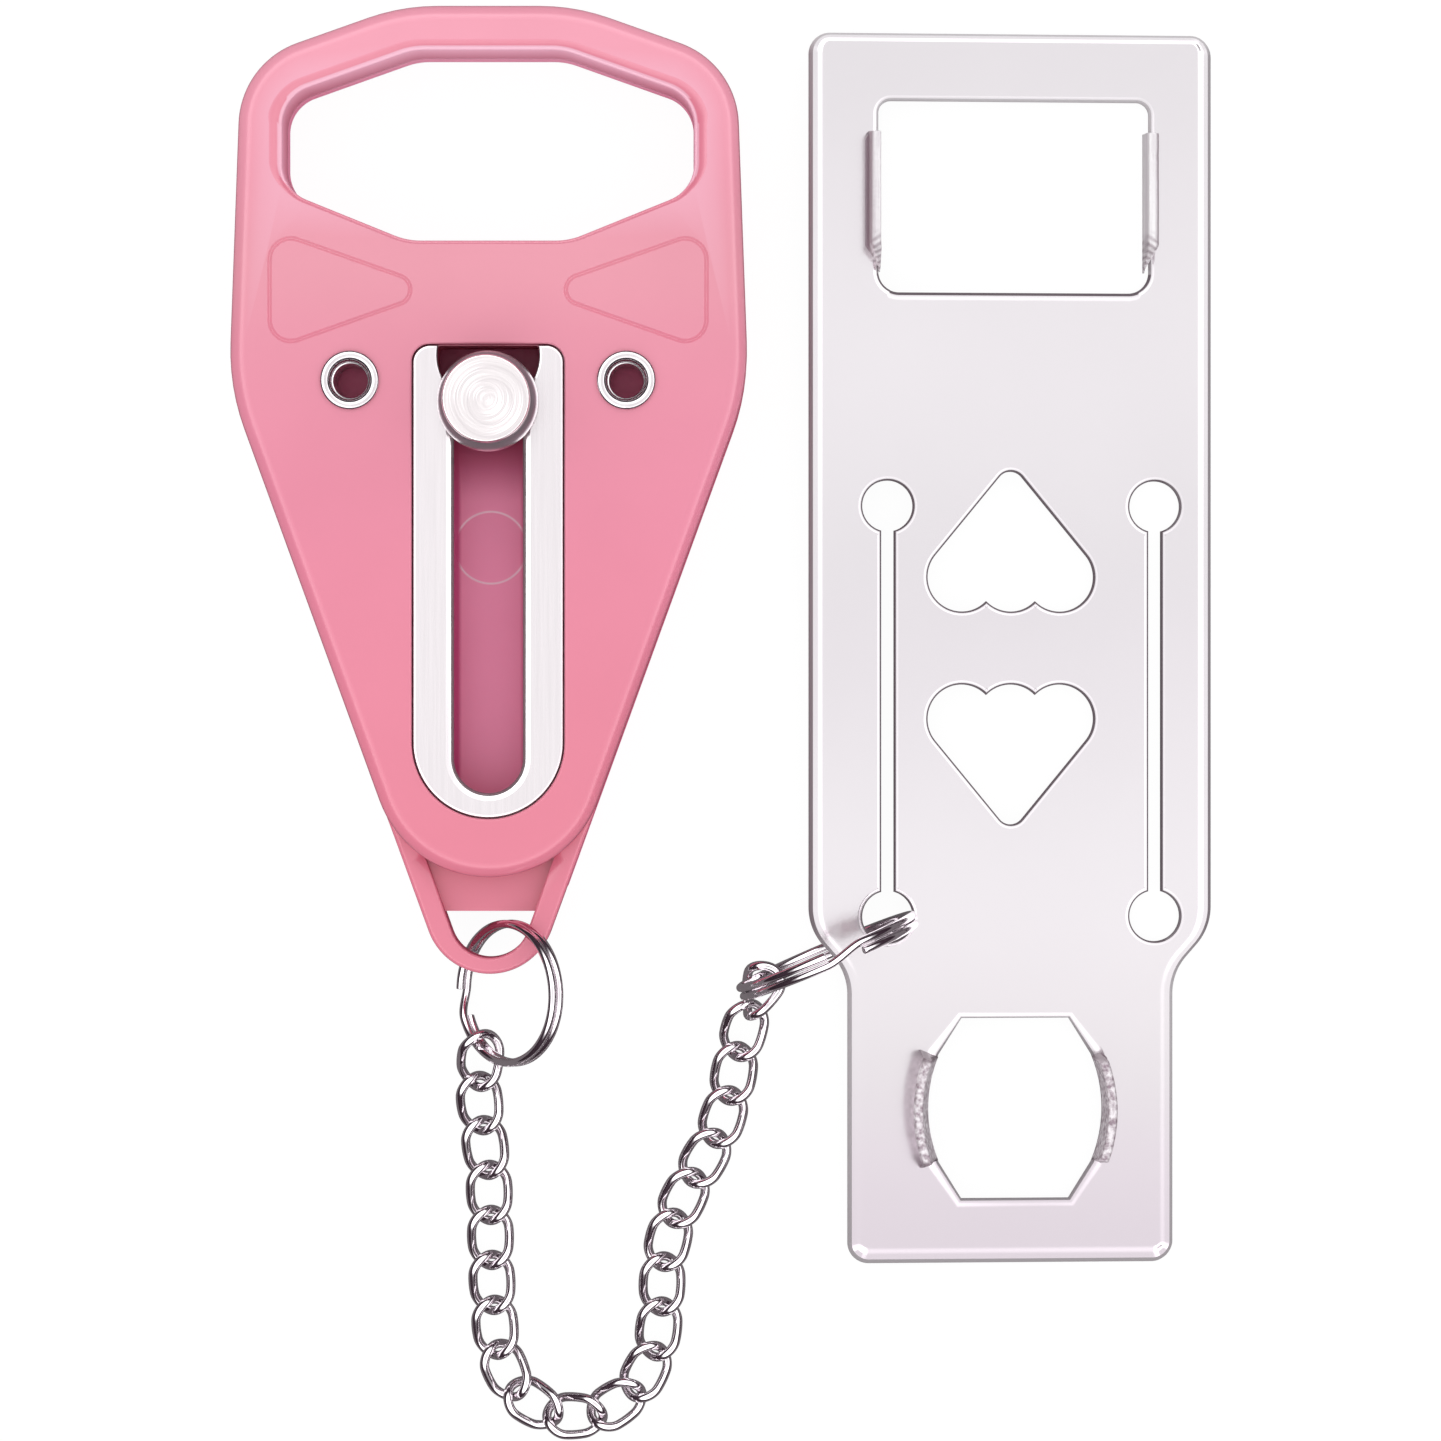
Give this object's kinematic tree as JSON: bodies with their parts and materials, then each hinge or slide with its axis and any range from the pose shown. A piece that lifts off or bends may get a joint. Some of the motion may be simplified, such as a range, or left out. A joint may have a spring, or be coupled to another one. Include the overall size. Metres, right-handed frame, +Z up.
{
  "type": "portable door lock",
  "caption": "Portable door lock: a handled plastic body with a sliding thumb knob in a steel track, joined by a curb chain and split rings to a flat steel plate with upturned claws.",
  "frame": {"origin": "middle of the whole layout's bounding box, on the table that everything lies on", "axes": "+Y from the chain towards the handle, +X from the lock body towards the claw plate, +Z up from the table"},
  "size_m": [0.1212, 0.1768, 0.0238],
  "materials": {
    "pink_plastic": "moulded, satin sheen",
    "stainless_steel": "pressed and polished",
    "bright_steel": "bright plated",
    "plate_steel": "stamped, fine satin",
    "zinc_plated_steel": "zinc plated",
    "white_plastic": "moulded"
  },
  "bodies": {
    "case": {"front_shell": "pink_plastic", "back_shell": "pink_plastic", "slide_track": "stainless_steel", "eyelet_left": "stainless_steel", "eyelet_right": "stainless_steel", "case_screw_1": "zinc_plated_steel", "case_screw_2": "zinc_plated_steel", "case_screw_3": "zinc_plated_steel", "case_screw_4": "zinc_plated_steel", "case_screw_5": "zinc_plated_steel", "case_screw_6": "zinc_plated_steel", "case_screw_7": "zinc_plated_steel", "track_screw_1": "zinc_plated_steel", "track_screw_2": "zinc_plated_steel", "track_screw_3": "zinc_plated_steel", "track_screw_4": "zinc_plated_steel"},
    "slider": {"slider": "stainless_steel", "glide_ring": "white_plastic", "knob_washer": "white_plastic"},
    "thumb_knob": {"thumb_knob": "bright_steel"},
    "ring_a": {"ring_a": "bright_steel"},
    "chain_link_01": {"chain_link_01": "bright_steel"},
    "chain_link_02": {"chain_link_02": "bright_steel"},
    "chain_link_03": {"chain_link_03": "bright_steel"},
    "chain_link_04": {"chain_link_04": "bright_steel"},
    "chain_link_05": {"chain_link_05": "bright_steel"},
    "chain_link_06": {"chain_link_06": "bright_steel"},
    "chain_link_07": {"chain_link_07": "bright_steel"},
    "chain_link_08": {"chain_link_08": "bright_steel"},
    "chain_link_09": {"chain_link_09": "bright_steel"},
    "chain_link_10": {"chain_link_10": "bright_steel"},
    "chain_link_11": {"chain_link_11": "bright_steel"},
    "chain_link_12": {"chain_link_12": "bright_steel"},
    "chain_link_13": {"chain_link_13": "bright_steel"},
    "chain_link_14": {"chain_link_14": "bright_steel"},
    "chain_link_15": {"chain_link_15": "bright_steel"},
    "chain_link_16": {"chain_link_16": "bright_steel"},
    "chain_link_17": {"chain_link_17": "bright_steel"},
    "chain_link_18": {"chain_link_18": "bright_steel"},
    "chain_link_19": {"chain_link_19": "bright_steel"},
    "chain_link_20": {"chain_link_20": "bright_steel"},
    "chain_link_21": {"chain_link_21": "bright_steel"},
    "ring_b": {"ring_b": "bright_steel"},
    "claw_plate": {"claw_plate": "plate_steel"}
  },
  "joints": [
    {"name": "slider_slide", "type": "slide", "parent": "case", "child": "slider", "axis": [0, -1, 0], "range_m": [0, 0.0436]},
    {"name": "thumb_knob_turn", "type": "hinge", "parent": "slider", "child": "thumb_knob", "pos_m": [-0.02894, 0.03981, 0], "axis": [0, 0, 1], "continuous": true},
    {"name": "ring_a_swing", "type": "hinge", "parent": "case", "child": "ring_a", "pos_m": [-0.02894, -0.02941, 0.0048], "axis": [1, 0, 0], "range_deg": [-5, 30]},
    {"name": "chain_link_01_lift", "type": "hinge", "parent": "ring_a", "child": "chain_link_01", "pos_m": [-0.02998, -0.03866, 0.00361], "axis": [0.9903, -0.1392, 0], "range_deg": [-22, 30]},
    {"name": "chain_link_02_turn", "type": "hinge", "parent": "chain_link_01", "child": "chain_link_02", "pos_m": [-0.03073, -0.04399, 0.00207], "axis": [0.0115, -0.1097, 0.9939], "range_deg": [-30, 0]},
    {"name": "chain_link_03_lift", "type": "hinge", "parent": "chain_link_02", "child": "chain_link_03", "pos_m": [-0.03015, -0.04953, 0.00145], "axis": [-0.9903, -0.1392, 0], "range_deg": [-30, 30]},
    {"name": "chain_link_04_turn", "type": "hinge", "parent": "chain_link_03", "child": "chain_link_04", "pos_m": [-0.02937, -0.05507, 0.00145], "axis": [0, 0, 1], "range_deg": [-30, 0]},
    {"name": "chain_link_05_lift", "type": "hinge", "parent": "chain_link_04", "child": "chain_link_05", "pos_m": [-0.02917, -0.06067, 0.00145], "axis": [0.9998, 0.0174, 0], "range_deg": [-30, 30]},
    {"name": "chain_link_06_turn", "type": "hinge", "parent": "chain_link_05", "child": "chain_link_06", "pos_m": [-0.02907, -0.06627, 0.00145], "axis": [0, 0, 1], "range_deg": [-30, 0]},
    {"name": "chain_link_07_lift", "type": "hinge", "parent": "chain_link_06", "child": "chain_link_07", "pos_m": [-0.02878, -0.07186, 0.00145], "axis": [-0.9962, -0.0872, 0], "range_deg": [-30, 30]},
    {"name": "chain_link_08_turn", "type": "hinge", "parent": "chain_link_07", "child": "chain_link_08", "pos_m": [-0.02829, -0.07744, 0.00145], "axis": [0, 0, 1], "range_deg": [-30, 0]},
    {"name": "chain_link_09_lift", "type": "hinge", "parent": "chain_link_08", "child": "chain_link_09", "pos_m": [-0.0261, -0.0826, 0.00145], "axis": [0.5446, 0.8387, 0], "range_deg": [-30, 30]},
    {"name": "chain_link_10_turn", "type": "hinge", "parent": "chain_link_09", "child": "chain_link_10", "pos_m": [-0.02141, -0.08564, 0.00145], "axis": [0, 0, 1], "range_deg": [-30, 0]},
    {"name": "chain_link_11_lift", "type": "hinge", "parent": "chain_link_10", "child": "chain_link_11", "pos_m": [-0.01581, -0.08564, 0.00145], "axis": [0.5446, -0.8387, 0], "range_deg": [-30, 30]},
    {"name": "chain_link_12_turn", "type": "hinge", "parent": "chain_link_11", "child": "chain_link_12", "pos_m": [-0.01111, -0.0826, 0.00145], "axis": [0, 0, 1], "range_deg": [-30, 0]},
    {"name": "chain_link_13_lift", "type": "hinge", "parent": "chain_link_12", "child": "chain_link_13", "pos_m": [-0.00857, -0.07761, 0.00145], "axis": [-0.9925, 0.1219, 0], "range_deg": [-30, 30]},
    {"name": "chain_link_14_turn", "type": "hinge", "parent": "chain_link_13", "child": "chain_link_14", "pos_m": [-0.00789, -0.07205, 0.00145], "axis": [0, 0, 1], "range_deg": [-30, 0]},
    {"name": "chain_link_15_lift", "type": "hinge", "parent": "chain_link_14", "child": "chain_link_15", "pos_m": [-0.00769, -0.06645, 0.00145], "axis": [0.9703, -0.2419, 0], "range_deg": [-30, 30]},
    {"name": "chain_link_16_turn", "type": "hinge", "parent": "chain_link_15", "child": "chain_link_16", "pos_m": [-0.00634, -0.06102, 0.00145], "axis": [0, 0, 1], "range_deg": [-30, 0]},
    {"name": "chain_link_17_lift", "type": "hinge", "parent": "chain_link_16", "child": "chain_link_17", "pos_m": [-0.00388, -0.05598, 0.00145], "axis": [-0.866, 0.5, 0], "range_deg": [-30, 30]},
    {"name": "chain_link_18_turn", "type": "hinge", "parent": "chain_link_17", "child": "chain_link_18", "pos_m": [-0.00108, -0.05113, 0.00145], "axis": [0, 0, 1], "range_deg": [-30, 0]},
    {"name": "chain_link_19_lift", "type": "hinge", "parent": "chain_link_18", "child": "chain_link_19", "pos_m": [0.00065, -0.04581, 0.00145], "axis": [0.9848, -0.1736, 0], "range_deg": [-30, 30]},
    {"name": "chain_link_20_turn", "type": "hinge", "parent": "chain_link_19", "child": "chain_link_20", "pos_m": [0.00162, -0.04029, 0.00145], "axis": [-0.0431, -0.1504, 0.9877], "range_deg": [-30, 0]},
    {"name": "chain_link_21_lift", "type": "hinge", "parent": "chain_link_20", "child": "chain_link_21", "pos_m": [0.00315, -0.03498, 0.00233], "axis": [-0.6432, 0.5498, -0.5329], "range_deg": [-30, 30]},
    {"name": "ring_b_swing", "type": "hinge", "parent": "chain_link_21", "child": "ring_b", "pos_m": [0.00543, -0.0303, 0.0044], "axis": [0.3907, -0.9205, 0], "range_deg": [-30, 30]},
    {"name": "claw_plate_swing", "type": "hinge", "parent": "ring_b", "child": "claw_plate", "pos_m": [0.01261, -0.02791, 0.0119], "axis": [0.3907, -0.9205, 0], "range_deg": [0, 90]}
  ]
}
